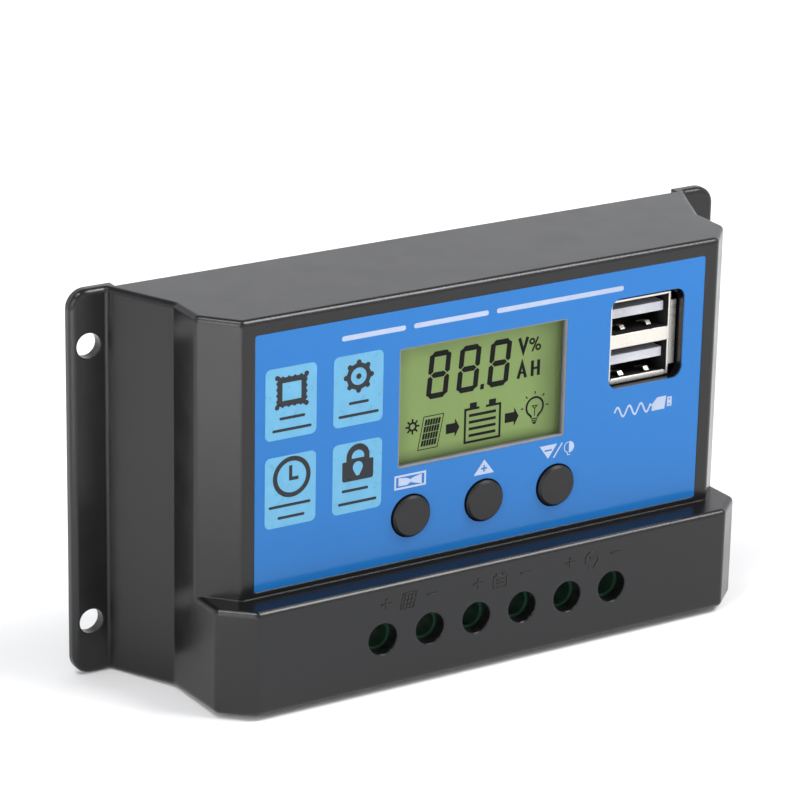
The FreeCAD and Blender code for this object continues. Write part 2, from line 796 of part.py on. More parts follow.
def make_sockets():
    """Two stacked sockets: one metal shell, white tongues and four contacts on each tongue."""
    shell = block("usb_shell_blank", "usb_across - usb_width / 2", "usb_across + usb_width / 2",
                  "-usb_front", "-board_front", "usb_up - usb_stack / 2", "usb_up + usb_stack / 2")
    ports = []
    tongues = []
    contacts = []
    port_half_height = "(usb_stack - usb_divider - 2 * usb_skin) / 4"
    for number in range(2):
        level = port_level(number)
        ports.append(block(f"usb_port_{number}", "usb_across - usb_width / 2 + usb_skin",
                           "usb_across + usb_width / 2 - usb_skin", "-usb_front - 1",
                           "-usb_front + usb_port_length", f"{level} - {port_half_height}",
                           f"{level} + {port_half_height}"))
        middle = f"{level} + usb_tongue_offset"
        tongues.append(block(f"usb_tongue_{number}", "usb_across - usb_tongue_width / 2",
                             "usb_across + usb_tongue_width / 2",
                             "-usb_front + usb_port_length - usb_tongue_length",
                             "-usb_front + usb_port_length", f"{middle} - usb_tongue_thickness / 2",
                             f"{middle} + usb_tongue_thickness / 2"))
        for strip in range(4):
            x = f"usb_across + {strip - 1.5} * usb_contact_pitch"
            contacts.append(block(f"usb_contact_{number}_{strip}", f"{x} - usb_contact_width / 2",
                                  f"{x} + usb_contact_width / 2",
                                  "-usb_front + usb_port_length - usb_tongue_length + 1",
                                  "-usb_front + usb_port_length - 1",
                                  f"{middle} - usb_tongue_thickness / 2 - usb_contact_thickness",
                                  f"{middle} - usb_tongue_thickness / 2"))
    edge = "usb_across + usb_width / 2"
    flange = block("usb_flange", edge, f"{edge} + usb_flange_width", "-usb_front + usb_flange_set",
                   "-usb_front + usb_flange_set + usb_skin", "usb_up - usb_flange_length / 2",
                   "usb_up + usb_flange_length / 2")
    finished(fuse("usb_shell", cut("usb_sleeve", shell, ports), flange), "usb_shell")
    finished(together("usb_tongues", tongues), "usb_tongues")
    finished(together("usb_contacts", contacts), "usb_contacts")


# ---------------------------------------------------------------- push buttons

def make_button_cap(name, index):
    """Round cap with a captive flange behind the front wall, bored for the switch stem."""
    x, _ = button_x(index)
    body = new_body(f"{name}_button_body")
    section = new_sketch(body, f"{name}_section", "XY_Plane", "0")
    polygon(section, [
        ("stem_radius", "-button_skirt"),
        ("button_radius", "-button_skirt"),
        ("button_radius", "-button_flange_rear"),
        ("button_flange_radius", "-button_flange_rear"),
        ("button_flange_radius", "-button_flange_front"),
        ("button_radius", "-button_flange_front"),
        ("button_radius", "-button_shoulder"),
        ("button_face_radius", "-button_front"),
        ("0", "-button_front"),
        ("0", "-stem_front"),
        ("stem_radius", "-stem_front"),
    ])
    turned = body.newObject("PartDesign::Revolution", f"{name}_turned")
    turned.Profile = section
    turned.ReferenceAxis = (section, ["V_Axis"])
    turned.Angle = 360
    bind(body, "Placement.Base.x", x)
    bind(body, "Placement.Base.z", "-button_down")
    finished(body, f"{name}_button")


def make_buttons():
    """Each cap is pressed on the stem of a tall switch that stands on the board."""
    switches = []
    for index, name in enumerate(BUTTONS):
        x, _ = button_x(index)
        make_button_cap(name, index)
        finished(peg(f"{name}_stem", "stem_radius", x, "-stem_front", "-stem_rear", "-button_down"),
                 f"{name}_switch_stem")
        housing = block(f"{name}_switch_blank", f"{x} - switch_size / 2", f"{x} + switch_size / 2",
                        "-board_front - switch_height", "-board_front",
                        "-button_down - switch_size / 2", "-button_down + switch_size / 2")
        bore = peg(f"{name}_switch_bore", "switch_bore", x, "-board_front - switch_height - 1",
                   "-board_front - switch_height + switch_bore_depth", "-button_down")
        switches.append(cut(f"{name}_switch", housing, [bore]))
    finished(together("switch_bodies", switches), "switch_bodies")


# ---------------------------------------------------------------- screw terminals

def make_terminal_block():
    """One insulating block with six cells: screw well in front, cage room behind, wire mouth below."""
    outside = block("terminal_blank", "-3 * terminal_pitch", "3 * terminal_pitch", "-block_front",
                    "-board_front", "-block_low", "-block_high")
    tools = []
    for index, name in enumerate(TERMINALS):
        x, _ = terminal_x(index)
        tools.append(peg(f"{name}_well", "well_radius", x, "-block_front - 1", "-well_floor",
                         "-terminal_down"))
        tools.append(peg(f"{name}_shank_hole", "terminal_screw_radius + 2 * thread_play", x,
                         "-well_floor - 0.1", "-shelf_rear + 0.1", "-terminal_down"))
        tools.append(block(f"{name}_cage_room", f"{x} - cage_room_half", f"{x} + cage_room_half",
                           "-shelf_rear", "-cage_room_rear", "-block_low - 1", "-cage_room_high"))
        tools.append(block(f"{name}_bar_slot", f"{x} - bar_half - slot_play", f"{x} + bar_half + slot_play",
                           "-bar_front - slot_play", "-bar_front + bar_thickness + slot_play",
                           "-cage_room_high - 0.1", "-bar_high + slot_play"))
        tools.append(block(f"{name}_leg_slot", f"{x} - leg_half - slot_play", f"{x} + leg_half + slot_play",
                           "-bar_front", "-board_front + 1",
                           "-bar_high - bar_thickness - slot_play", "-bar_high + slot_play"))
    finished(cut("terminal_block", outside, tools), "terminal_block")


def make_terminal_bars():
    """Tinned current bars: each stands in its cage and bends back through the board."""
    bars = []
    for index, name in enumerate(TERMINALS):
        x, _ = terminal_x(index)
        bar = block(f"{name}_bar", f"{x} - bar_half", f"{x} + bar_half", "-bar_front",
                    "-bar_front + bar_thickness", "-bar_low", "-bar_high")
        leg = block(f"{name}_leg", f"{x} - leg_half", f"{x} + leg_half", "-bar_front + bar_thickness",
                    "-leg_reach", "-bar_high - bar_thickness", "-bar_high")
        bars.append(fuse(f"{name}_bar_bent", bar, leg))
    finished(together("terminal_bars", bars), "terminal_bars")


def make_terminal_screw(index, name):
    """Captive slotted screw: its head sits on the shelf of the well, its thread works in the cage."""
    x, _ = terminal_x(index)
    head_front = "-well_floor - terminal_head_height"
    head = peg(f"{name}_head", "terminal_head_radius", x, head_front, "-well_floor", "-terminal_down")
    shank = peg(f"{name}_shank", "terminal_screw_radius", x, "-well_floor", "-terminal_screw_tip",
                "-terminal_down")
    slot = []
    for turned, (half_x, half_z) in enumerate((("screw_slot_half", "terminal_head_radius + 1"),
                                               ("screw_cross_half", "screw_slot_half"))):
        slot.append(block(f"{name}_slot_{turned}", f"{x} - {half_x}", f"{x} + {half_x}",
                          f"{head_front} - 0.1", f"{head_front} + screw_slot_depth",
                          f"-terminal_down - {half_z}", f"-terminal_down + {half_z}"))
    finished(cut(f"{name}_screw_cut", fuse(f"{name}_screw_blank", head, shank), slot), f"{name}_screw")


def make_terminal_cage(index, name):
    """Rectangular cage that the screw draws forward, so that its floor lifts the wire to the bar."""
    x, _ = terminal_x(index)
    outside = block(f"{name}_cage_blank", f"{x} - cage_half", f"{x} + cage_half", "-cage_front",
                    "-cage_rear", "-cage_low", "-cage_high")
    room = block(f"{name}_cage_inside", f"{x} - cage_inner_half", f"{x} + cage_inner_half",
                 "-cage_front + cage_nut", "-cage_rear - cage_floor", "-cage_low - 1", "-cage_high + 1")
    thread = peg(f"{name}_thread", "terminal_screw_radius + thread_play", x, "-cage_front - 1",
                 "-cage_front + cage_nut + 0.5", "-terminal_down")
    finished(cut(f"{name}_cage_cut", outside, [room, thread]), f"{name}_clamp")


def make_terminals():
    make_terminal_block()
    make_terminal_bars()
    for index, name in enumerate(TERMINALS):
        make_terminal_screw(index, name)
        make_terminal_cage(index, name)


# ---------------------------------------------------------------- power stage and board parts

def make_transistors():
    """Six flat packages behind the board, seated on an insulating pad on the heat-sink plate."""
    tabs = []
    bodies = []
    leads = []
    rear = "-ear_depth - pad_thickness"
    body_low = "-transistor_down - transistor_body"
    for index in range(6):
        x = f"{index - 2.5} * transistor_pitch"
        left = f"{x} - transistor_width / 2"
        right = f"{x} + transistor_width / 2"
        plate = block(f"tab_plate_{index}", left, right, f"{rear} - tab_thickness", rear,
                      "-transistor_down", "-transistor_down + transistor_tab")
        hole = peg(f"tab_hole_{index}", "tab_hole_radius", x, f"{rear} - tab_thickness - 1", f"{rear} + 1",
                   "-transistor_down + transistor_tab / 2")
        tabs.append(cut(f"tab_{index}", plate, [hole]))
        bodies.append(block(f"package_{index}", left, right, f"{rear} - transistor_thickness", rear,
                            body_low, "-transistor_down"))
        for pin in range(3):
            pin_x = f"{x} + {pin - 1} * lead_pitch"
            pin_y = f"{rear} - transistor_thickness / 2"
            run = block(f"lead_run_{index}_{pin}", f"{pin_x} - lead_width / 2", f"{pin_x} + lead_width / 2",
                        pin_y, f"{pin_y} + lead_width / 2", f"{body_low} - lead_reach", body_low)
            drop = block(f"lead_drop_{index}_{pin}", f"{pin_x} - lead_width / 2",
                         f"{pin_x} + lead_width / 2", "-board_front + board_thickness", pin_y,
                         f"{body_low} - lead_reach", f"{body_low} - lead_reach + lead_width")
            leads.append(fuse(f"lead_{index}_{pin}", run, drop))
    finished(together("transistor_tabs", tabs), "transistor_tabs")
    finished(together("transistor_bodies", bodies), "transistor_bodies")
    finished(together("transistor_leads", leads), "transistor_leads")
    sheet_pad = block("thermal_pad", "-pad_half", "pad_half", rear, "-ear_depth", body_low,
                      "-transistor_down + transistor_tab")
    finished(sheet_pad, "thermal_pad")


def make_capacitors():
    """Two round aluminium cans in shrunk sleeves, standing on the board."""
    cans = []
    sleeves = []
    for number, z in enumerate(("can_up - can_radius - 1", "can_up + can_radius + 1")):
        front = "-board_front - can_height"
        cans.append(peg(f"can_{number}", "can_radius - can_sleeve", "-can_across", front, "-board_front", z))
        outer = peg(f"sleeve_outer_{number}", "can_radius", "-can_across", f"{front} + can_sleeve",
                    "-board_front - can_sleeve", z)
        inner = peg(f"sleeve_inner_{number}", "can_radius - can_sleeve", "-can_across", f"{front} - 1",
                    "-board_front + 1", z)
        sleeves.append(cut(f"sleeve_{number}", outer, [inner]))
    finished(together("capacitor_cans", cans), "capacitor_cans")
    finished(together("capacitor_sleeves", sleeves), "capacitor_sleeves")


def make_choke():
    """Ferrite bobbin and its copper winding, for the socket supply."""
    front = "-board_front - choke_height"
    drum = peg("choke_drum", "choke_radius", "choke_across", front, "-board_front", "-choke_down")
    groove = peg("choke_groove", "choke_radius + 1", "choke_across", f"{front} + choke_flange",
                 "-board_front - choke_flange", "-choke_down")
    waist = peg("choke_waist_post", "choke_waist", "choke_across", f"{front} - 1", "-board_front + 1",
                "-choke_down")
    finished(cut("choke_core", drum, [cut("choke_room", groove, [waist])]), "choke_core")
    coil = peg("choke_coil", "choke_radius - can_sleeve", "choke_across", f"{front} + choke_flange",
               "-board_front - choke_flange", "-choke_down")
    hole = peg("choke_coil_hole", "choke_waist", "choke_across", f"{front} - 1", "-board_front + 1",
               "-choke_down")
    finished(cut("choke_winding", coil, [hole]), "choke_winding")


def on_board(name, x, z, length, width, height):
    """Flat part soldered to the front of the board, centred on x and z."""
    return block(name, f"{x} - {length} / 2", f"{x} + {length} / 2", f"-board_front - {height}",
                 "-board_front", f"{z} - {width} / 2", f"{z} + {width} / 2")


def make_small_parts():
    chip = on_board("microcontroller", "-chip_across", "-chip_down", "chip_size", "chip_size",
                    "chip_thickness")
    finished(chip, "microcontroller")
    regulator = on_board("socket_regulator", "regulator_across", "-regulator_down", "regulator_length",
                         "regulator_width", "chip_thickness")
    finished(regulator, "socket_regulator")
    strap = on_board("shunt_strap", "0", "-shunt_down", "shunt_span", "shunt_width", "shunt_rise")
    arch = block("shunt_arch", "-shunt_span / 2 + shunt_thickness", "shunt_span / 2 - shunt_thickness",
                 "-board_front - shunt_rise + shunt_thickness", "-board_front + 1",
                 "-shunt_down - shunt_width", "-shunt_down + shunt_width")
    finished(cut("current_shunt", strap, [arch]), "current_shunt")
    diodes = []
    resistors = []
    for number in range(3):
        diodes.append(on_board(f"diode_{number}", "-diode_across", f"diode_up - {number} * diode_pitch",
                               "diode_length", "diode_width", "diode_height"))
    for number in range(6):
        resistors.append(on_board(f"resistor_{number}", f"{number - 2.5} * resistor_pitch",
                                  "-resistor_down", "resistor_width", "resistor_length", "resistor_height"))
    finished(together("diodes", diodes), "diodes")
    finished(together("resistors", resistors), "resistors")


def check_model():
    """Stop on any failed object or unusable sub-part shape."""
    doc.recompute()
    for item in doc.Objects:
        if "Invalid" in item.State or "Error" in item.State:
            raise RuntimeError(f"{item.Label} failed: {item.State}")
    for item in subparts:
        if item.Shape.isNull() or not item.Shape.isValid() or item.Shape.Volume <= 0:
            raise RuntimeError(f"{item.Label} has no usable shape")


def export_parts():
    os.makedirs("parts", exist_ok=True)
    for item in subparts:
        item.Shape.exportStep(f"parts/{item.Label}.step")
        print(f"{item.Label}: {len(item.Shape.Solids)} solid(s), {item.Shape.Volume:.1f} mm3")


make_front_housing()
make_back_plate()
make_plate_screws()
make_circuit_board()
make_board_screws()
make_label_overlay()
make_display()
make_sockets()
make_buttons()
make_terminals()
make_transistors()
make_capacitors()
make_choke()
make_small_parts()
check_model()
export_parts()
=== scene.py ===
import json
import math

import bmesh
import bpy
from mathutils import Matrix, Vector


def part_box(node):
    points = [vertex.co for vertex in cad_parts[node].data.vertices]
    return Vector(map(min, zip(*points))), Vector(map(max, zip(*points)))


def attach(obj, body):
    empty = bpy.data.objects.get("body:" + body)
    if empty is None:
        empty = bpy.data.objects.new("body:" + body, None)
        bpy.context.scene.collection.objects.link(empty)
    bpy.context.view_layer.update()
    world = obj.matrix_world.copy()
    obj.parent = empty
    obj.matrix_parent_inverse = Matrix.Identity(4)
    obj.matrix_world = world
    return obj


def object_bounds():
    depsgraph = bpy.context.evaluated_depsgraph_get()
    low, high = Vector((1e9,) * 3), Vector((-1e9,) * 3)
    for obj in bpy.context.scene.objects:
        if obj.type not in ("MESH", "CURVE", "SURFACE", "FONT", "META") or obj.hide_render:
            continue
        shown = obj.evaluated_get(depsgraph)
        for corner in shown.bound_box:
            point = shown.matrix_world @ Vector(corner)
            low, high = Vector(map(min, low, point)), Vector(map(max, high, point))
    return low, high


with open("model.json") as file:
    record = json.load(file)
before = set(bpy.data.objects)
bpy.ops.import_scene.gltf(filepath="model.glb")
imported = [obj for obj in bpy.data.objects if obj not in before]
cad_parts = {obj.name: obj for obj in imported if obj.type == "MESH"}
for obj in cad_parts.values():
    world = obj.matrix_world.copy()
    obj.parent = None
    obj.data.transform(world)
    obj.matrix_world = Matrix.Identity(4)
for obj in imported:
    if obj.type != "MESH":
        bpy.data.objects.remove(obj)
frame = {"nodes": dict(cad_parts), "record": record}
cad_low, cad_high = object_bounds()

MM = 0.001
INK_THICKNESS = 0.02        # printed ink, millimetres
STROKE = 0.16               # finest printed line, millimetres


# ---------------------------------------------------------------- node helpers

def add(tree, kind, **settings):
    """New node with its settings and input values."""
    node = tree.nodes.new(kind)
    for name, value in settings.items():
        if hasattr(node, name):
            setattr(node, name, value)
        else:
            node.inputs[name].default_value = value
    return node


def wire(tree, source, node, name):
    """Link an output to one named or numbered input."""
    tree.links.new(source, node.inputs[name])


def start(name):
    """New material, its tree, its shader and a place in millimetres that rides with the piece."""
    material = bpy.data.materials.new(name)
    material.use_nodes = True
    tree = material.node_tree
    shader = tree.nodes["Principled BSDF"]
    place = add(tree, "ShaderNodeTexCoord")
    grown = add(tree, "ShaderNodeVectorMath", operation="SCALE", Scale=1 / MM)
    wire(tree, place.outputs["Object"], grown, "Vector")
    return material, tree, shader, grown.outputs["Vector"]


def noise(tree, place, size, detail=2.0, stretch=(1.0, 1.0, 1.0)):
    """Soft noise whose features are about size millimetres across, longer where stretch is larger."""
    mapped = add(tree, "ShaderNodeMapping")
    mapped.inputs["Scale"].default_value = [1 / (size * part) for part in stretch]
    wire(tree, place, mapped, "Vector")
    texture = add(tree, "ShaderNodeTexNoise", Scale=1.0, Detail=detail, Roughness=0.55)
    wire(tree, mapped.outputs["Vector"], texture, "Vector")
    return texture.outputs["Fac"]


def cells(tree, place, size):
    """Distance to the middle of the nearest of many small cells."""
    texture = add(tree, "ShaderNodeTexVoronoi", Scale=1 / size, Randomness=1.0)
    wire(tree, place, texture, "Vector")
    return texture.outputs["Distance"]


def spread(tree, source, low, high, start_at=0.3, end_at=0.7):
    """A noise value stretched to run from low to high."""
    node = add(tree, "ShaderNodeMapRange")
    node.inputs["From Min"].default_value = start_at
    node.inputs["From Max"].default_value = end_at
    node.inputs["To Min"].default_value = low
    node.inputs["To Max"].default_value = high
    wire(tree, source, node, "Value")
    return node.outputs["Result"]


def between(tree, share, first, second):
    """Colour between two colours, each given as three numbers or as another node's output."""
    node = add(tree, "ShaderNodeMix", data_type="RGBA")
    wire(tree, share, node, "Factor")
    for slot_name, colour in (("A", first), ("B", second)):
        socket = [item for item in node.inputs if item.name == slot_name and item.type == "RGBA"][0]
        if isinstance(colour, tuple):
            socket.default_value = (*colour, 1.0)
        else:
            tree.links.new(colour, socket)
    return [item for item in node.outputs if item.type == "RGBA"][0]


def maths(tree, operation, first, second):
    """Arithmetic on two values, each a number or another node's output."""
    node = add(tree, "ShaderNodeMath", operation=operation)
    for index, value in enumerate((first, second)):
        if isinstance(value, (int, float)):
            node.inputs[index].default_value = value
        else:
            tree.links.new(value, node.inputs[index])
    return node.outputs["Value"]


def shade(colour, factor):
    """The colour made lighter or darker."""
    return tuple(part * factor for part in colour)


def softened(tree, radius):
    """Normal that turns smoothly over sharp edges, and a share that is 1 on edges and 0 on open faces."""
    soft = add(tree, "ShaderNodeBevel", samples=4, Radius=radius * MM)
    true = add(tree, "ShaderNodeNewGeometry")
    match = add(tree, "ShaderNodeVectorMath", operation="DOT_PRODUCT")
    wire(tree, soft.outputs["Normal"], match, 0)
    wire(tree, true.outputs["Normal"], match, 1)
    return soft.outputs["Normal"], spread(tree, match.outputs["Value"], 1.0, 0.0, 0.82, 0.995)


def relief(tree, shader, height, depth, normal=None):
    """Surface relief of that depth in millimetres, over the plain or a softened normal."""
    bump = add(tree, "ShaderNodeBump", Strength=1.0, Distance=depth * MM)
    wire(tree, height, bump, "Height")
    if normal:
        wire(tree, normal, bump, "Normal")
    wire(tree, bump.outputs["Normal"], shader, "Normal")


def front_share(tree):
    """1 on faces that look forward and 0 on side walls, the mask for painted side shade."""
    true = add(tree, "ShaderNodeNewGeometry")
    split = add(tree, "ShaderNodeSeparateXYZ")
    wire(tree, true.outputs["Normal"], split, "Vector")
    return spread(tree, maths(tree, "ABSOLUTE", split.outputs["Y"], 0.0), 0.0, 1.0, 0.75, 0.95)


# ---------------------------------------------------------------- materials

def moulded(name, tone, rough, grain=0.35, depth=0.004, edge=0.0, side=1.0, gloss=0.5):
    """Moulded plastic: fine eroded texture from the tool, faint flow mottling, rubbed edges, and painted
    shade on side walls when side is below 1.
    """
    material, tree, shader, place = start(name)
    mottle = spread(tree, noise(tree, place, 14.0, 3.0), 0.0, 1.0)
    flow = spread(tree, noise(tree, place, 3.0, 2.0, (1.0, 1.0, 2.4)), 0.0, 0.5)
    share = maths(tree, "MULTIPLY", maths(tree, "ADD", mottle, flow), 0.66)
    body = between(tree, share, shade(tone, 0.86), shade(tone, 1.14))
    speck = spread(tree, noise(tree, place, 0.5, 1.0), 0.0, 0.35, 0.62, 0.74)
    body = between(tree, speck, body, shade(tone, 1.5))
    normal = None
    if edge:
        normal, rim = softened(tree, edge)
        rubbed = maths(tree, "MULTIPLY", rim, spread(tree, noise(tree, place, 4.0), 0.1, 0.6))
        body = between(tree, rubbed, body, shade(tone, 1.5))
    # Painted shade: side walls are painted darker than the front faces.
    if side < 1.0:
        body = between(tree, front_share(tree), shade(tone, side), body)
    wire(tree, body, shader, "Base Color")
    dull = spread(tree, noise(tree, place, 6.0, 3.0), rough - 0.03, rough + 0.03)
    wire(tree, dull, shader, "Roughness")
    shader.inputs["Specular IOR Level"].default_value = gloss
    fine = maths(tree, "ADD", noise(tree, place, grain, 3.0), noise(tree, place, grain * 4, 2.0))
    relief(tree, shader, fine, depth, normal)
    return material


def metal(name, tone, rough, brush=(1.0, 1.0, 1.0), line=0.12, depth=0.003, dark=0.72, edge=0.0):
    """Bare or plated metal: brushed or drawn lines, cloudy oxide and small scratches."""
    material, tree, shader, place = start(name)
    shader.inputs["Metallic"].default_value = 1.0
    lines = noise(tree, place, line, 2.0, brush)
    cloud = noise(tree, place, 7.0, 4.0)
    body = between(tree, spread(tree, cloud, 0.0, 1.0), shade(tone, dark), tone)
    body = between(tree, spread(tree, lines, 0.0, 0.35), body, shade(tone, 1.12))
    normal = None
    if edge:
        normal, rim = softened(tree, edge)
        body = between(tree, maths(tree, "MULTIPLY", rim, 0.5), body, shade(tone, 1.2))
    wire(tree, body, shader, "Base Color")
    mixed = maths(tree, "ADD", maths(tree, "MULTIPLY", lines, 0.6), maths(tree, "MULTIPLY", cloud, 0.4))
    wire(tree, spread(tree, mixed, rough - 0.07, rough + 0.09), shader, "Roughness")
    relief(tree, shader, lines, depth, normal)
    return material


def ink(name, tone, rough=0.3, depth=0.002, gloss=0.5):
    """Screen-printed ink: slightly uneven cover and a fine mesh of pinholes."""
    material, tree, shader, place = start(name)
    cover = spread(tree, noise(tree, place, 2.2, 3.0), 0.0, 1.0)
    body = between(tree, cover, shade(tone, 0.95), shade(tone, 1.03))
    pin = spread(tree, cells(tree, place, 0.16), 0.35, 0.0, 0.0, 0.35)
    body = between(tree, pin, body, shade(tone, 0.97))
    wire(tree, body, shader, "Base Color")
    wire(tree, spread(tree, noise(tree, place, 1.1), rough - 0.03, rough + 0.03), shader, "Roughness")
    shader.inputs["Specular IOR Level"].default_value = gloss
    relief(tree, shader, noise(tree, place, 0.2, 2.0), depth)
    return material


def overlay_film(name, tone):
    """Glossy printed sheet: blue painted paler towards the upper right as painted light, printing dots, a
    faint orange-peel film.
    """
    material, tree, shader, place = start(name)
    split = add(tree, "ShaderNodeSeparateXYZ")
    wire(tree, place, split, "Vector")
    # Painted light: the blue is painted darker towards the lower left and paler towards the upper right.
    rise = maths(tree, "ADD", split.outputs["X"], split.outputs["Z"])
    body = between(tree, spread(tree, rise, 0.0, 1.0, -60.0, 75.0), shade(tone, 0.86), shade(tone, 1.1))
    drift = spread(tree, noise(tree, place, 34.0, 1.0), 0.0, 0.5)
    body = between(tree, drift, body, tone)
    dots = spread(tree, cells(tree, place, 0.22), 0.4, 0.0, 0.0, 0.3)
    body = between(tree, dots, body, shade(tone, 0.92))
    wire(tree, body, shader, "Base Color")
    wire(tree, spread(tree, noise(tree, place, 9.0, 2.0), 0.08, 0.12), shader, "Roughness")
    shader.inputs["Specular IOR Level"].default_value = 0.32
    relief(tree, shader, noise(tree, place, 1.6, 2.0), 0.0015)
    return material


def display_film(name, tone):
    """Reflective display: grey-green cell behind a matt polariser, with painted shadow darkening it towards
    the right and bottom edges.
    """
    material, tree, shader, place = start(name)
    drift = spread(tree, noise(tree, place, 12.0, 1.0), 0.0, 1.0)
    body = between(tree, drift, shade(tone, 0.95), shade(tone, 1.04))
    fine = spread(tree, noise(tree, place, 0.12, 2.0), 0.0, 0.5)
    body = between(tree, fine, body, shade(tone, 0.88))
    # Painted shadow: the green darkens towards the right and bottom edges, as if shaded by the window's
    # lips.
    split = add(tree, "ShaderNodeSeparateXYZ")
    wire(tree, place, split, "Vector")
    painted_shadow_right = spread(tree, split.outputs["X"], 0.0, 0.5, 10.0, 16.6)
    low = spread(tree, split.outputs["Z"], 0.42, 0.0, 3.4, 5.8)
    body = between(tree, maths(tree, "MAXIMUM", painted_shadow_right, low), body, shade(tone, 0.0))
    wire(tree, body, shader, "Base Color")
    wire(tree, spread(tree, noise(tree, place, 2.5), 0.2, 0.26), shader, "Roughness")
    shader.inputs["Specular IOR Level"].default_value = 0.2
    relief(tree, shader, noise(tree, place, 0.1, 2.0), 0.001)
    return material


def laminate(name, tone):
    """Circuit board: solder mask over a faint glass weave with paler copper tracks beneath."""
    material, tree, shader, place = start(name)
    tracks = add(tree, "ShaderNodeTexBrick", Scale=0.22)
    tracks.inputs["Mortar Size"].default_value = 0.04
    wire(tree, place, tracks, "Vector")
    body = between(tree, tracks.outputs["Fac"], tone, shade(tone, 1.7))
    weave = add(tree, "ShaderNodeTexWave", Scale=1.6, Distortion=0.4)
    wire(tree, place, weave, "Vector")
    body = between(tree, maths(tree, "MULTIPLY", weave.outputs["Fac"], 0.2), body, shade(tone, 0.6))
    wire(tree, body, shader, "Base Color")
    wire(tree, spread(tree, noise(tree, place, 3.0), 0.24, 0.34), shader, "Roughness")
    relief(tree, shader, tracks.outputs["Fac"], 0.02)
    return material


def striped_rubber(name, tone):
    """Contact strip: carbon layers between clear rubber layers."""
    material, tree, shader, place = start(name)
    layers = add(tree, "ShaderNodeTexWave", Scale=1.5, bands_direction="X")
    wire(tree, place, layers, "Vector")
    wire(tree, between(tree, layers.outputs["Fac"], tone, shade(tone, 0.12)), shader, "Base Color")
    wire(tree, spread(tree, noise(tree, place, 0.8), 0.55, 0.7), shader, "Roughness")
    relief(tree, shader, layers.outputs["Fac"], 0.01)
    return material


def make_materials():
    """One finish for each of the record's material slots, and one for each printed ink."""
    tones = {item["slot"]: tuple(item["base_color"]) for item in frame["record"]["materials"]}
    along_x = (60.0, 1.0, 1.0)
    along_y = (1.0, 40.0, 1.0)
    made = {
        "housing_plastic": moulded("housing_plastic", (0.005, 0.005, 0.0055), 0.24,
                                   edge=0.4, gloss=0.41),
        "aluminium_plate": metal("aluminium_plate", tones["aluminium_plate"], 0.34, along_x, edge=0.2),
        "zinc_steel": metal("zinc_steel", (0.55, 0.55, 0.53), 0.3, along_y, dark=0.6, edge=0.15),
        "plated_brass": metal("plated_brass", tones["plated_brass"], 0.28, along_y),
        "tinned_copper": metal("tinned_copper", tones["tinned_copper"], 0.36),
        "printed_overlay": overlay_film("printed_overlay", (0.011, 0.134, 0.405)),
        "board_laminate": laminate("board_laminate", tones["board_laminate"]),
        "terminal_plastic": moulded("terminal_plastic", (0.008, 0.042, 0.02), 0.3, 0.5, edge=0.25),
        "display_glass": display_film("display_glass", (0.158, 0.228, 0.075)),
        "display_frame": moulded("display_frame", (0.2, 0.2, 0.205), 0.5, 0.3),
        "white_plastic": moulded("white_plastic", (0.58, 0.58, 0.62), 0.4, 0.4, 0.003, 0.25),
        "elastomer": striped_rubber("elastomer", tones["elastomer"]),
        "socket_steel": metal("socket_steel", (0.68, 0.645, 0.585), 0.3, (6.0, 1.0, 1.0), 0.3,
                              dark=0.9, edge=0.2),
        "contact_metal": metal("contact_metal", tones["contact_metal"], 0.26, along_y),
        # Painted shade: the caps' side walls are painted at a tenth of the tone.
        "button_plastic": moulded("button_plastic", (0.009, 0.009, 0.0095), 0.5, 0.28, 0.006,
                                  side=0.1, gloss=0.38),
        "stem_plastic": moulded("stem_plastic", tones["stem_plastic"], 0.45),
        "black_moulding": moulded("black_moulding", tones["black_moulding"], 0.55, 0.2, 0.006),
        "tab_metal": metal("tab_metal", tones["tab_metal"], 0.36, along_x),
        "silicone_pad": moulded("silicone_pad", tones["silicone_pad"], 0.7, 0.25, 0.01),
        "can_aluminium": metal("can_aluminium", tones["can_aluminium"], 0.3, along_y),
        "sleeve_plastic": moulded("sleeve_plastic", tones["sleeve_plastic"], 0.25, 0.6, 0.003),
        "ferrite": moulded("ferrite", tones["ferrite"], 0.6, 0.15, 0.012),
        "copper_wire": metal("copper_wire", tones["copper_wire"], 0.28, along_x),
        "tile": ink("tile_ink", (0.108, 0.315, 0.485), gloss=0.3),
        "dark_ink": ink("dark_ink", (0.022, 0.024, 0.027), gloss=0.15),
        "light_ink": ink("light_ink", (0.36, 0.42, 0.54), gloss=0.3),
        "segment": ink("segment_ink", (0.008, 0.008, 0.008), 0.4, gloss=0.06),
        "lining": moulded("window_lining", (0.16, 0.16, 0.165), 0.5, 0.3),
        # Painted shade: near-black plastic for the liners that stand for shade inside the sockets.
        "painted_shade_liner": moulded("shade_liner_plastic", (0.004, 0.004, 0.004), 0.6, 0.3, gloss=0.1),
    }
    return made


def dress_nodes(finishes):
    """Give every CAD node the finish of its slot."""
    for part in frame["record"]["subparts"]:
        node = frame["nodes"][part["node"]]
        node.data.materials.clear()
        node.data.materials.append(finishes[part["material_slot"]])


# ---------------------------------------------------------------- flat outlines, in millimetres

def ring(x, z, radius, count=48):
    """Points round a circle."""
    step = 2 * math.pi / count
    return [(x + radius * math.cos(step * i), z + radius * math.sin(step * i)) for i in range(count)]


def plate(left, low, right, high, corner=0.0, count=6):
    """Rectangle with rounded corners."""
    if corner <= 0:
        return [(left, low), (right, low), (right, high), (left, high)]
    loop = []
    centres = ((right - corner, low + corner, -90), (right - corner, high - corner, 0),
               (left + corner, high - corner, 90), (left + corner, low + corner, 180))
    for x, z, first in centres:
        for i in range(count + 1):
            angle = math.radians(first + 90 * i / count)
            loop.append((x + corner * math.cos(angle), z + corner * math.sin(angle)))
    return loop


def arc(x, z, radius, first, last, count=24):
    """Points along an arc, angles in degrees."""
    angles = [math.radians(first + (last - first) * i / count) for i in range(count + 1)]
    return [(x + radius * math.cos(angle), z + radius * math.sin(angle)) for angle in angles]


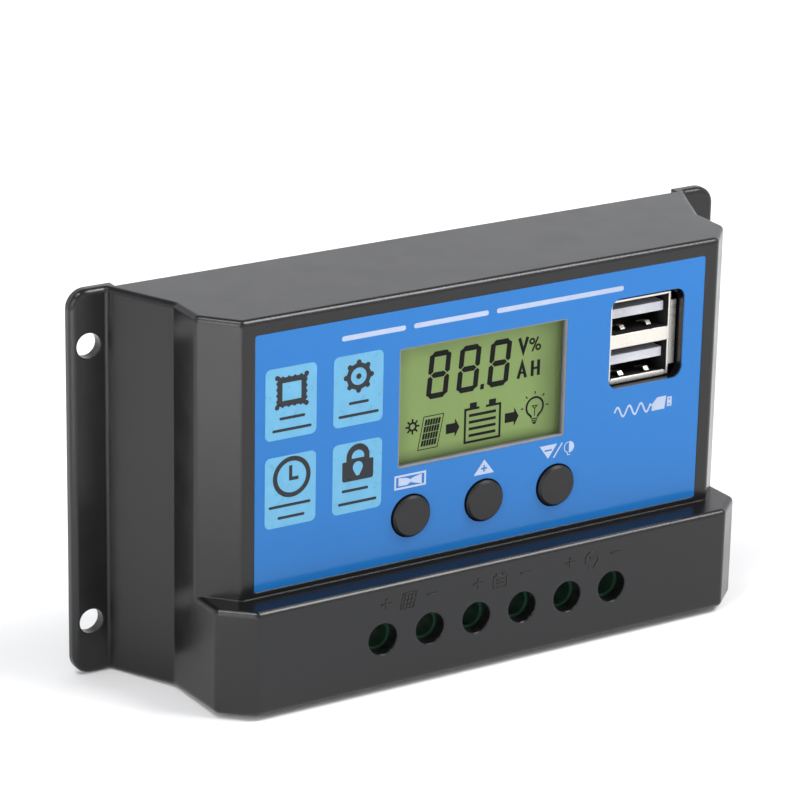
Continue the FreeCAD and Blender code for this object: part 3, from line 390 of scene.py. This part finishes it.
def ribbon(points, width, closed=False):
    """Outline of a line of one width: one loop if it is open, two if it is closed."""
    points = [Vector(point) for point in points]
    last = len(points) - 1
    left, right = [], []
    for i, point in enumerate(points):
        before = points[i - 1] if closed or i else None
        after = points[(i + 1) % len(points)] if closed or i < last else None
        arriving = (point - before).normalized() if before else (after - point).normalized()
        leaving = (after - point).normalized() if after else arriving
        along = (arriving + leaving).normalized()
        reach = Vector((-along.y, along.x)) * (width / 2 / max(0.35, along.dot(arriving)))
        left.append(point + reach)
        right.append(point - reach)
    return [left, right] if closed else [left + right[::-1]]


def moved(groups, right, up):
    """The same outlines shifted to the right and upwards."""
    return [[[(x + right, z + up) for x, z in loop] for loop in loops] for loops in groups]


def bar(left, right, z, height):
    """Slim bar with round ends that stands for a word."""
    return plate(left, z - height / 2, right, z + height / 2, height / 2 * 0.98)


def slab(groups, front, thickness, soften=0.0):
    """Mesh of flat shapes drawn in x and z, with their front faces at one depth."""
    joined = bmesh.new()
    for loops in groups:
        curve = bpy.data.curves.new("outline", "CURVE")
        curve.dimensions = "2D"
        curve.fill_mode = "BOTH"
        curve.extrude = thickness / 2 - soften
        curve.bevel_depth = soften
        curve.bevel_resolution = 2
        curve.offset = -soften
        for loop in loops:
            spline = curve.splines.new("POLY")
            spline.points.add(len(loop) - 1)
            for target, (x, z) in zip(spline.points, loop):
                target.co = (x, z, 0.0, 1.0)
            spline.use_cyclic_u = True
        holder = bpy.data.objects.new("outline", curve)
        flat = bpy.data.meshes.new_from_object(holder)
        joined.from_mesh(flat)
        bpy.data.objects.remove(holder)
        bpy.data.curves.remove(curve)
        bpy.data.meshes.remove(flat)
    bmesh.ops.remove_doubles(joined, verts=joined.verts, dist=0.0005)
    upright = Matrix(((1, 0, 0, 0), (0, 0, -1, thickness / 2 - front), (0, 1, 0, 0), (0, 0, 0, 1)))
    bmesh.ops.transform(joined, matrix=Matrix.Scale(MM, 4) @ upright, verts=joined.verts)
    bmesh.ops.recalc_face_normals(joined, faces=joined.faces)
    return joined


def piece(name, shape, finish, body="root"):
    """Scene object from a bmesh, riding on a body."""
    mesh = bpy.data.meshes.new(name)
    shape.to_mesh(mesh)
    shape.free()
    mesh.materials.append(finish)
    made = bpy.data.objects.new(name, mesh)
    bpy.context.scene.collection.objects.link(made)
    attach(made, body)


def depth_of(node):
    """Distance from the rear face to a node's front, in millimetres."""
    return -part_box(node)[0].y / MM


# ---------------------------------------------------------------- prints on the overlay

def chip_icon(left, low, right, high):
    """Square chip seen from above: lobed corners, rounded pins on all four sides."""
    lobe, bump, pins = 0.45, 0.4, 4
    corners = [(left, low), (right, low), (right, high), (left, high)]
    outline = []
    for index, corner in enumerate(corners):
        here = Vector(corner)
        there = Vector(corners[(index + 1) % 4])
        heading = (there - here).normalized()
        first = math.degrees(math.atan2(heading.y, heading.x)) - 200
        centre = here + lobe * 0.9 * (Vector((left + right, low + high)) / 2 - here).normalized()
        outline += arc(centre.x, centre.y, lobe, first, first + 220, 10)
        inside = Vector((-heading.y, heading.x))
        room = (there - here).length - 2 * lobe * 1.7
        for pin in range(pins):
            middle = here + heading * (lobe * 1.7 + room * (pin + 0.5) / pins) + inside * bump
            side = math.degrees(math.atan2(-inside.y, -inside.x))
            outline += arc(middle.x, middle.y, bump * 0.75, side - 75, side + 75, 8)
    window = 1.3
    return [outline, plate(left + window, low + window, right - window, high - window)]


def gear_icon(x, z, tip, root, hole):
    """Gear with eight round-ended teeth."""
    teeth, half = 8, 0.48
    outline = []
    for tooth in range(teeth):
        angle = 2 * math.pi * tooth / teeth + math.pi / 2
        swing = math.asin(half / root)
        outline.append((x + root * math.cos(angle - swing), z + root * math.sin(angle - swing)))
        reach = tip - half
        turned = math.degrees(angle)
        outline += arc(x + reach * math.cos(angle), z + reach * math.sin(angle), half,
                       turned - 90, turned + 90, 8)
        outline.append((x + root * math.cos(angle + swing), z + root * math.sin(angle + swing)))
    return [outline, ring(x, z, hole)]


def padlock_icon(left, low, right, high, top):
    """Padlock with a round shackle and a keyhole."""
    x = (left + right) / 2
    outer, inner = 2.28, 1.25
    shoulder = top - outer
    soft = 0.45
    outline = arc(left + soft, low + soft, soft, 180, 270, 6)
    outline += arc(right - soft, low + soft, soft, 270, 360, 6)
    outline += [(right, high - 0.15), (right - 0.15, high), (x + outer, high)]
    outline += arc(x, shoulder, outer, 0, 180)
    outline += [(x - outer, high), (left + 0.15, high), (left, high - 0.15)]
    opening = arc(x, shoulder - 0.1, inner, 0, 180)
    opening += [(x - inner, high + 0.42), (x + inner, high + 0.42)]
    keyhole = arc(x, (low + high) / 2 + 0.6, 1.0, -30, 210)
    keyhole += [(x - 0.28, low + 0.85), (x + 0.28, low + 0.85)]
    return [outline, opening, keyhole]


def make_overlay_prints(finishes):
    """Icon tiles, pictograms and slim bars where the overlay carries wording."""
    face = depth_of("label_overlay")
    tiles = [[plate(-44.0, 12.75, -34.1, 25.4, 1.0)], [plate(-30.8, 12.75, -21.05, 25.4, 1.0)],
             [plate(-44.0, -3.0, -34.1, 9.7, 1.0)], [plate(-30.8, -3.0, -21.05, 9.7, 1.0)]]
    lift = face + INK_THICKNESS
    piece("overlay_icon_tiles", slab(tiles, lift, INK_THICKNESS), finishes["tile"])
    clock = (-38.8, 5.75)
    icons = [chip_icon(-42.05, 18.2, -35.8, 23.95),
             gear_icon(-25.9, 21.4, 2.98, 2.42, 1.55), [ring(-25.9, 21.4, 0.5, 24)],
             [ring(*clock, 3.66), ring(*clock, 2.82)],
             ribbon([(-39.02, 7.8), (-39.02, 5.4), (-37.5, 5.4)], 0.62),
             padlock_icon(-28.9, 2.7, -22.75, 6.3, 9.3)]
    words = [(-41.3, -36.3, 16.4), (-42.65, -35.05, 14.35), (-27.8, -23.85, 16.75), (-29.8, -21.85, 14.6),
             (-43.25, -35.1, 0.75), (-41.5, -36.25, -1.35), (-28.95, -23.7, 1.05), (-29.65, -22.0, -1.25)]
    icons += [[bar(left, right, z, 0.5)] for left, right, z in words]
    piece("overlay_icons", slab(icons, lift + INK_THICKNESS, INK_THICKNESS), finishes["dark_ink"])
    light = [[bar(left, right, 28.5, 0.9)] for left, right in ((-29.3, -16.7), (-15.1, 0.0), (1.65, 28.2))]
    light += menu_mark() + up_mark() + down_mark() + plug_mark()
    piece("overlay_light_prints", slab(light, lift, INK_THICKNESS), finishes["light_ink"])


def menu_mark():
    """Card outline with a solid bow inside."""
    frame_line = ribbon(plate(-18.25, -0.53, -12.2, 1.72), 0.36, True)
    bow = [(-17.6, 1.45), (-15.9, 1.2), (-15.2, 0.85), (-14.5, 1.15), (-12.9, 1.45),
           (-12.9, -0.3), (-14.4, 0.05), (-15.1, 0.3), (-15.9, -0.1), (-17.6, -0.05)]
    return [frame_line, [bow]]


def up_mark():
    """Triangle with a plus cut out."""
    arm, half, x, z = 0.62, 0.17, -0.08, 0.02
    plus = [(x - arm, z - half), (x - half, z - half), (x - half, z - arm), (x + half, z - arm),
            (x + half, z - half), (x + arm, z - half), (x + arm, z + half), (x + half, z + half),
            (x + half, z + arm), (x - half, z + arm), (x - half, z + half), (x - arm, z + half)]
    return [[[(-2.2, -1.05), (2.0, -1.05), (-0.05, 1.65)], plus]]


def down_mark():
    """Triangle with a minus cut out, a stroke and a half-filled lamp."""
    x, z = 17.75, 0.75
    lamp = arc(x, z, 1.08, -90, 90, 16) + [(x, z + 0.2)]
    rim = ribbon(arc(x, z, 1.0, 98, 250, 16) + [(x - 0.25, z - 1.45), (x + 0.3, z - 1.45)], STROKE)
    return [[[(11.5, 1.85), (15.2, 1.85), (13.35, -0.7)], plate(12.55, 0.72, 14.1, 1.02)],
            ribbon([(14.5, -0.7), (16.3, 1.8)], 0.26), [lamp], rim]


def plug_mark():
    """Charging plug at the end of a waving cable."""
    start_x, level, swing, step = 27.3, 5.35, 0.95, 0.25
    wave = [(start_x + step * i, level + swing * math.sin(i * 0.62)) for i in range(32)]
    cable = ribbon(wave + [(35.6, 5.3)], 0.34)
    body = [(35.4, 4.35), (38.2, 4.35), (38.5, 6.75), (36.6, 6.75), (35.55, 5.75)]
    tip = plate(38.75, 4.65, 39.75, 6.45)
    eyes = [plate(39.1, 4.95, 39.4, 5.25), plate(39.1, 5.85, 39.4, 6.15)]
    return [cable, [body], [tip] + eyes]


# ---------------------------------------------------------------- display

def digit(left, low):
    """All seven segments of one leaning digit, with small gaps between them."""
    width, height, thick, gap, lean = 4.35, 8.5, 1.0, 0.14, 0.09
    middle = height / 2
    half = thick / 2
    cut = thick * 0.75

    def upright(x, bottom, top, outer):
        inner = x + thick if outer < 0 else x
        edge = x if outer < 0 else x + thick
        return [(inner, bottom + half), (x + half, bottom), (edge, bottom + half * 0.6),
                (edge, top - half * 0.6), (x + half, top), (inner, top - half)]

    shapes = []
    for side, x in ((-1, 0.0), (1, width - thick)):
        shapes.append(upright(x, gap + half * 0.6, middle - gap, side))
        shapes.append(upright(x, middle + gap, height - gap - half * 0.6, side))
    shapes.append([(gap + cut, thick), (gap + half * 0.8, half * 0.9), (gap + cut, 0),
                   (width - gap - cut, 0), (width - gap - half * 0.8, half * 0.9),
                   (width - gap - cut, thick)])
    shapes.append([(x, height - z) for x, z in shapes[-1]][::-1])
    shapes.append([(half + gap, middle), (thick + gap, middle - half), (width - thick - gap, middle - half),
                   (width - half - gap, middle), (width - thick - gap, middle + half),
                   (thick + gap, middle + half)])
    return [[[(left + x + lean * z, low + z) for x, z in shape]] for shape in shapes]


def units():
    """V, %, A and H beside the digits."""
    bold = 0.62
    marks = [ribbon([(8.15, 21.75), (9.0, 19.15), (9.85, 21.75)], bold),
             ribbon([(8.05, 14.35), (8.85, 17.05), (9.65, 14.35)], bold), [plate(8.4, 15.15, 9.3, 15.5)],
             ribbon([(11.0, 14.35), (11.0, 17.2)], bold), ribbon([(12.3, 14.35), (12.3, 17.2)], bold),
             [plate(11.2, 15.55, 12.1, 15.95)], ribbon([(10.85, 18.9), (12.05, 21.45)], 0.34)]
    for x, z in ((10.8, 20.8), (12.1, 19.55)):
        marks.append([ring(x, z, 0.62, 20), ring(x, z, 0.26, 20)])
    return marks


def sun_mark(x, z):
    """Small sun with eight rays."""
    marks = [[ring(x, z, 0.86, 24), ring(x, z, 0.5, 24)]]
    for turn in range(8):
        angle = math.pi * turn / 4
        line = [(x + r * math.cos(angle), z + r * math.sin(angle)) for r in (0.86, 1.4)]
        marks.append(ribbon(line, 0.34))
    return marks


def panel_mark(corners, rows, columns, line, gap):
    """Leaning solar panel: outline and a grid of cells."""
    low_left, low_right, high_right, high_left = [Vector(corner) for corner in corners]

    def spot(across, up):
        low = low_left.lerp(low_right, across)
        high = high_left.lerp(high_right, across)
        return low.lerp(high, up)

    marks = [ribbon([spot(0, 0), spot(1, 0), spot(1, 1), spot(0, 1)], line, True)]
    for row in range(rows):
        for column in range(columns):
            a0 = 0.1 + 0.8 * (column + gap) / columns
            a1 = 0.1 + 0.8 * (column + 1 - gap) / columns
            u0 = 0.08 + 0.84 * (row + gap * 0.6) / rows
            u1 = 0.08 + 0.84 * (row + 1 - gap * 0.6) / rows
            marks.append([[spot(a0, u0), spot(a1, u0), spot(a1, u1), spot(a0, u1)]])
    return marks


def arrow_mark(left, right, z):
    """Solid arrow that points right."""
    half, head, neck = 0.88, 1.72, 0.95
    return [[[(left, z - half), (right - neck, z - half), (right - neck, z - head), (right, z),
              (right - neck, z + head), (right - neck, z + half), (left, z + half)]]]


def battery_mark(left, low, right, high):
    """Battery case open between its posts, with four charge bars."""
    line = 0.42
    case = [(0.2, high), (left, high), (left, low), (right, low), (right, high), (1.55, high)]
    marks = [ribbon(case, line)]
    for middle in (-1.08, 2.87):
        marks.append([plate(middle - 0.72, high + line / 2, middle + 0.72, high + 1.1)])
    for level in range(4):
        z = high - 1.2 - 1.23 * level
        marks.append([plate(left + 0.8, z - 0.26, right - 0.85, z + 0.26)])
    return marks


def lamp_mark(x, z, radius, line):
    """Light bulb with a filament, a screw cap and five rays."""
    glass = arc(x, z, radius, -58, 238, 36)
    left, right = glass[-1], glass[0]
    neck = z - radius * 1.12
    marks = [ribbon([(x + 0.62, neck)] + glass + [(x - 0.62, neck)], line)]
    for level, half in ((0.25, 0.68), (0.62, 0.6)):
        marks.append([plate(x - half, neck - level - 0.1, x + half, neck - level + 0.1)])
    marks.append([arc(x, neck - 0.85, 0.42, 180, 360, 10)])
    marks.append(ribbon([(x - 0.5, z + 0.2), (x, z - 0.35), (x + 0.5, z + 0.2)], STROKE, True))
    marks.append(ribbon([(x, z - 0.45), (x, z - 1.7)], STROKE))
    for degrees in (0, 48, 90, 132, 180):
        angle = math.radians(degrees)
        ray = [(x + r * math.cos(angle), z + r * math.sin(angle)) for r in (radius + 0.62, radius + 1.15)]
        marks.append(ribbon(ray, 0.22))
    return marks


def make_display(finishes):
    """Dark marks on the display glass and the grey lining of its window."""
    face = depth_of("lcd_glass")
    marks = []
    for left in (-10.9, -4.75, 1.55):
        marks += digit(left, 13.7)
    marks.append([[(0.2, 13.7), (0.95, 13.7), (1.04, 14.65), (0.3, 14.65)]])
    marks += units() + sun_mark(-13.45, 9.3)
    marks += panel_mark(((-12.29, 4.76), (-8.33, 4.76), (-7.11, 10.65), (-11.17, 10.65)), 4, 6, 0.15, 0.1)
    marks += arrow_mark(-6.6, -3.84, 7.6) + battery_mark(-2.7, 4.4, 4.5, 10.45)
    marks += arrow_mark(5.55, 8.42, 7.45) + lamp_mark(11.78, 8.55, 1.75, 0.38)
    glass_shift = (-0.63, 0.43)
    marks = moved(marks, *glass_shift)
    piece("display_segments", slab(marks, face + INK_THICKNESS, INK_THICKNESS), finishes["segment"])
    left, low, right, high = -17.8, 3.1, 16.6, 24.8
    wall, play = 0.22, 0.01
    outer = plate(left + play, low + play, right - play, high - play, 0.5)
    inner = plate(left + wall, low + wall, right - wall, high - wall, 0.3)
    rim = depth_of("label_overlay") - 0.05
    piece("display_window_lining", slab([[outer, inner]], rim, rim - face), finishes["lining"])


# ---------------------------------------------------------------- charging sockets

def leaf(x, level, rise):
    """Spring leaf pressed out of a port wall: a bent strip in y and z, as wide as a plug's window."""
    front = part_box("usb_shell")[0].y / MM
    half, metal_sheet = 0.5, 0.3
    bend = [(front + 1.3, level + rise * 0.3), (front + 1.9, level + rise),
            (front + 3.0, level + rise * 0.7), (front + 4.4, level)]
    shape = bmesh.new()
    for loop in ribbon(bend, metal_sheet):
        sides = [[shape.verts.new(Vector((x + side, y, z)) * MM) for y, z in loop]
                 for side in (-half, half)]
        shape.faces.new(sides[0])
        shape.faces.new(sides[1][::-1])
        for i, low in enumerate(sides[0]):
            after = (i + 1) % len(loop)
            shape.faces.new((low, sides[1][i], sides[1][after], sides[0][after]))
    bmesh.ops.triangulate(shape, faces=shape.faces)
    bmesh.ops.recalc_face_normals(shape, faces=shape.faces)
    return shape


def make_socket_details(finishes):
    """Black liners painted in as shade inside the sockets, spring leaves and the rolled lower lip of the
    stacked sockets.
    """
    low, high = [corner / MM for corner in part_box("usb_shell")]
    skin, flange, shade_liner_wall, set_back = 0.4, 1.3, 0.16, 0.3
    left, right = low.x + skin, high.x - flange - skin
    divider = 2.5
    half = (high.z - low.z - divider - 2 * skin) / 4
    middle = (low.z + high.z) / 2
    for name, sign in (("lower", -1), ("upper", 1)):
        level = middle + sign * (half + divider / 2)
        play = 0.02
        outer = plate(left + play, level - half + play, right - play, level + half - play)
        wall = shade_liner_wall
        inner = plate(left + wall, level - half + wall, right - wall, level + half - wall, 0.3)
        # Painted shade: a black liner down each socket stands where there is only shade.
        shape = slab([[outer, inner]], -low.y - set_back, 9.0)
        piece(f"{name}_socket_shade_liner", shape, finishes["painted_shade_liner"])
        for side, shift in (("left", -2.8), ("right", 2.8)):
            x = (left + right) / 2 + shift
            piece(f"{name}_socket_{side}_leaf", leaf(x, level - half + wall, 0.75),
                  finishes["socket_steel"])
    roll = plate(left - 0.1, low.z - 0.08, right - 0.2, low.z + 0.95, 0.4)
    lip = slab([[roll]], -low.y + 0.08, 0.5, 0.12)
    piece("socket_lower_lip", lip, finishes["socket_steel"])


# ---------------------------------------------------------------- marks moulded into the lower front

def make_moulded_marks(finishes):
    """Low raised marks above the terminals: polarity signs with a panel, a battery and a lamp."""
    face = depth_of("front_housing")
    height, level, line = 0.12, -18.65, 0.3
    marks = []
    for x in (-23.35, -4.6, 14.7):
        marks += [[plate(x - 1.05, level - 0.02, x + 1.05, level + 0.28)],
                  [plate(x - 0.15, level + 0.28, x + 0.15, level + 1.15)],
                  [plate(x - 0.15, level - 0.9, x + 0.15, level - 0.02)]]
    for x in (-14.05, 5.3, 24.6):
        marks.append([plate(x - 1.15, level + 0.05, x + 1.15, level + 0.35)])
    panel = ((-20.5, -20.15), (-17.9, -20.15), (-17.2, -17.3), (-19.9, -17.3))
    marks += panel_mark(panel, 3, 3, STROKE, 0.2)
    marks += [ribbon(plate(-1.35, -20.2, 1.35, -18.0), line, True),
              [plate(-0.95, -17.85, -0.35, -17.45)], [plate(0.35, -17.85, 0.95, -17.45)],
              [plate(-0.8, -18.85, 0.8, -18.6)], [plate(-0.8, -19.5, 0.8, -19.25)]]
    bulb = arc(19.4, -18.75, 1.35, -60, 240, 30)
    marks += [ribbon([(19.85, -20.55)] + bulb + [(18.95, -20.55)], line),
              ribbon([(18.9, -18.3), (19.4, -19.0), (19.9, -18.3)], 0.2)]
    shape = slab(marks, face + height, height * 2, 0.04)
    piece("moulded_terminal_marks", shape, finishes["housing_plastic"])


# ---------------------------------------------------------------- studio

def make_floor():
    """Plain pale floor that the housing stands on."""
    shape = bmesh.new()
    bmesh.ops.create_grid(shape, x_segments=8, y_segments=8, size=4.0)
    mesh = bpy.data.meshes.new("floor")
    shape.to_mesh(mesh)
    shape.free()
    material, tree, shader, place = start("pale_floor")
    tint = spread(tree, noise(tree, place, 400.0, 1.0), 0.0, 1.0)
    wire(tree, between(tree, tint, (0.90, 0.90, 0.90), (0.93, 0.93, 0.93)), shader, "Base Color")
    shader.inputs["Roughness"].default_value = 0.9
    shader.inputs["Specular IOR Level"].default_value = 0.1
    mesh.materials.append(material)
    floor = bpy.data.objects.new("floor", mesh)
    floor.location = (0.0, 0.0, cad_low.z - 0.02 * MM)
    bpy.context.scene.collection.objects.link(floor)


def make_lamp(name, place, aim, size, power, height=None, beam=180.0):
    """Soft rectangular light, with a grid that narrows its beam where one is wanted."""
    light = bpy.data.lights.new(name, "AREA")
    light.shape = "RECTANGLE"
    light.size = size
    light.size_y = height or size
    light.energy = power
    light.spread = math.radians(beam)
    holder = bpy.data.objects.new(name, light)
    holder.location = place
    holder.rotation_mode = "QUATERNION"
    holder.rotation_quaternion = (Vector(aim) - Vector(place)).to_track_quat("-Z", "Y")
    bpy.context.scene.collection.objects.link(holder)


def make_world():
    """Even pale surroundings near the horizon, darker overhead."""
    world = bpy.data.worlds.new("studio")
    bpy.context.scene.world = world
    world.use_nodes = True
    tree = world.node_tree
    place = add(tree, "ShaderNodeTexCoord")
    split = add(tree, "ShaderNodeSeparateXYZ")
    wire(tree, place.outputs["Generated"], split, "Vector")
    rising = spread(tree, split.outputs["Z"], 0.0, 1.0, 0.45, 0.75)
    sky = between(tree, rising, (1.12, 1.13, 1.16), (0.3, 0.3, 0.31))
    wire(tree, sky, tree.nodes["Background"], "Color")


def make_camera():
    """Camera left of the centre and above it, long lens."""
    camera = bpy.data.cameras.new("camera")
    camera.lens = 163.94
    camera.sensor_width = 36.0
    camera.clip_start = 0.01
    camera.clip_end = 20.0
    holder = bpy.data.objects.new("camera", camera)
    right = Vector((0.848655, -0.528606, 0.018966))
    down = Vector((-0.164092, -0.297192, -0.940612))
    ahead = Vector((0.50285, 0.795143, -0.338953))
    turn = Matrix((right, -down, -ahead)).transposed().to_4x4()
    holder.matrix_world = Matrix.Translation((-0.32854, -0.5196, 0.22526)) @ turn
    bpy.context.scene.collection.objects.link(holder)
    bpy.context.scene.camera = holder


def make_studio():
    """Floor, pale surroundings, four soft lamps and the camera."""
    make_floor()
    make_world()
    make_lamp("key", (0.6, -0.5, 1.04), (0.05, -0.1, 0.0), 0.5, 13.0)
    make_lamp("fill", (-0.5, -0.1, 1.2), (0.0, 0.0, 0.0), 0.4, 6.0)
    make_lamp("side", (-1.12, -0.6, 0.5), (0.0, 0.0, 0.0), 0.2, 5.0, 1.0)
    make_lamp("pool", (-0.25, -0.17, 0.4), (-0.2501, -0.17, 0.0), 0.1, 0.6, beam=50.0)
    make_camera()
    bpy.context.scene.view_settings.view_transform = "Standard"


# ---------------------------------------------------------------- build

finishes = make_materials()
dress_nodes(finishes)
make_overlay_prints(finishes)
make_display(finishes)
make_socket_details(finishes)
make_moulded_marks(finishes)
make_studio()
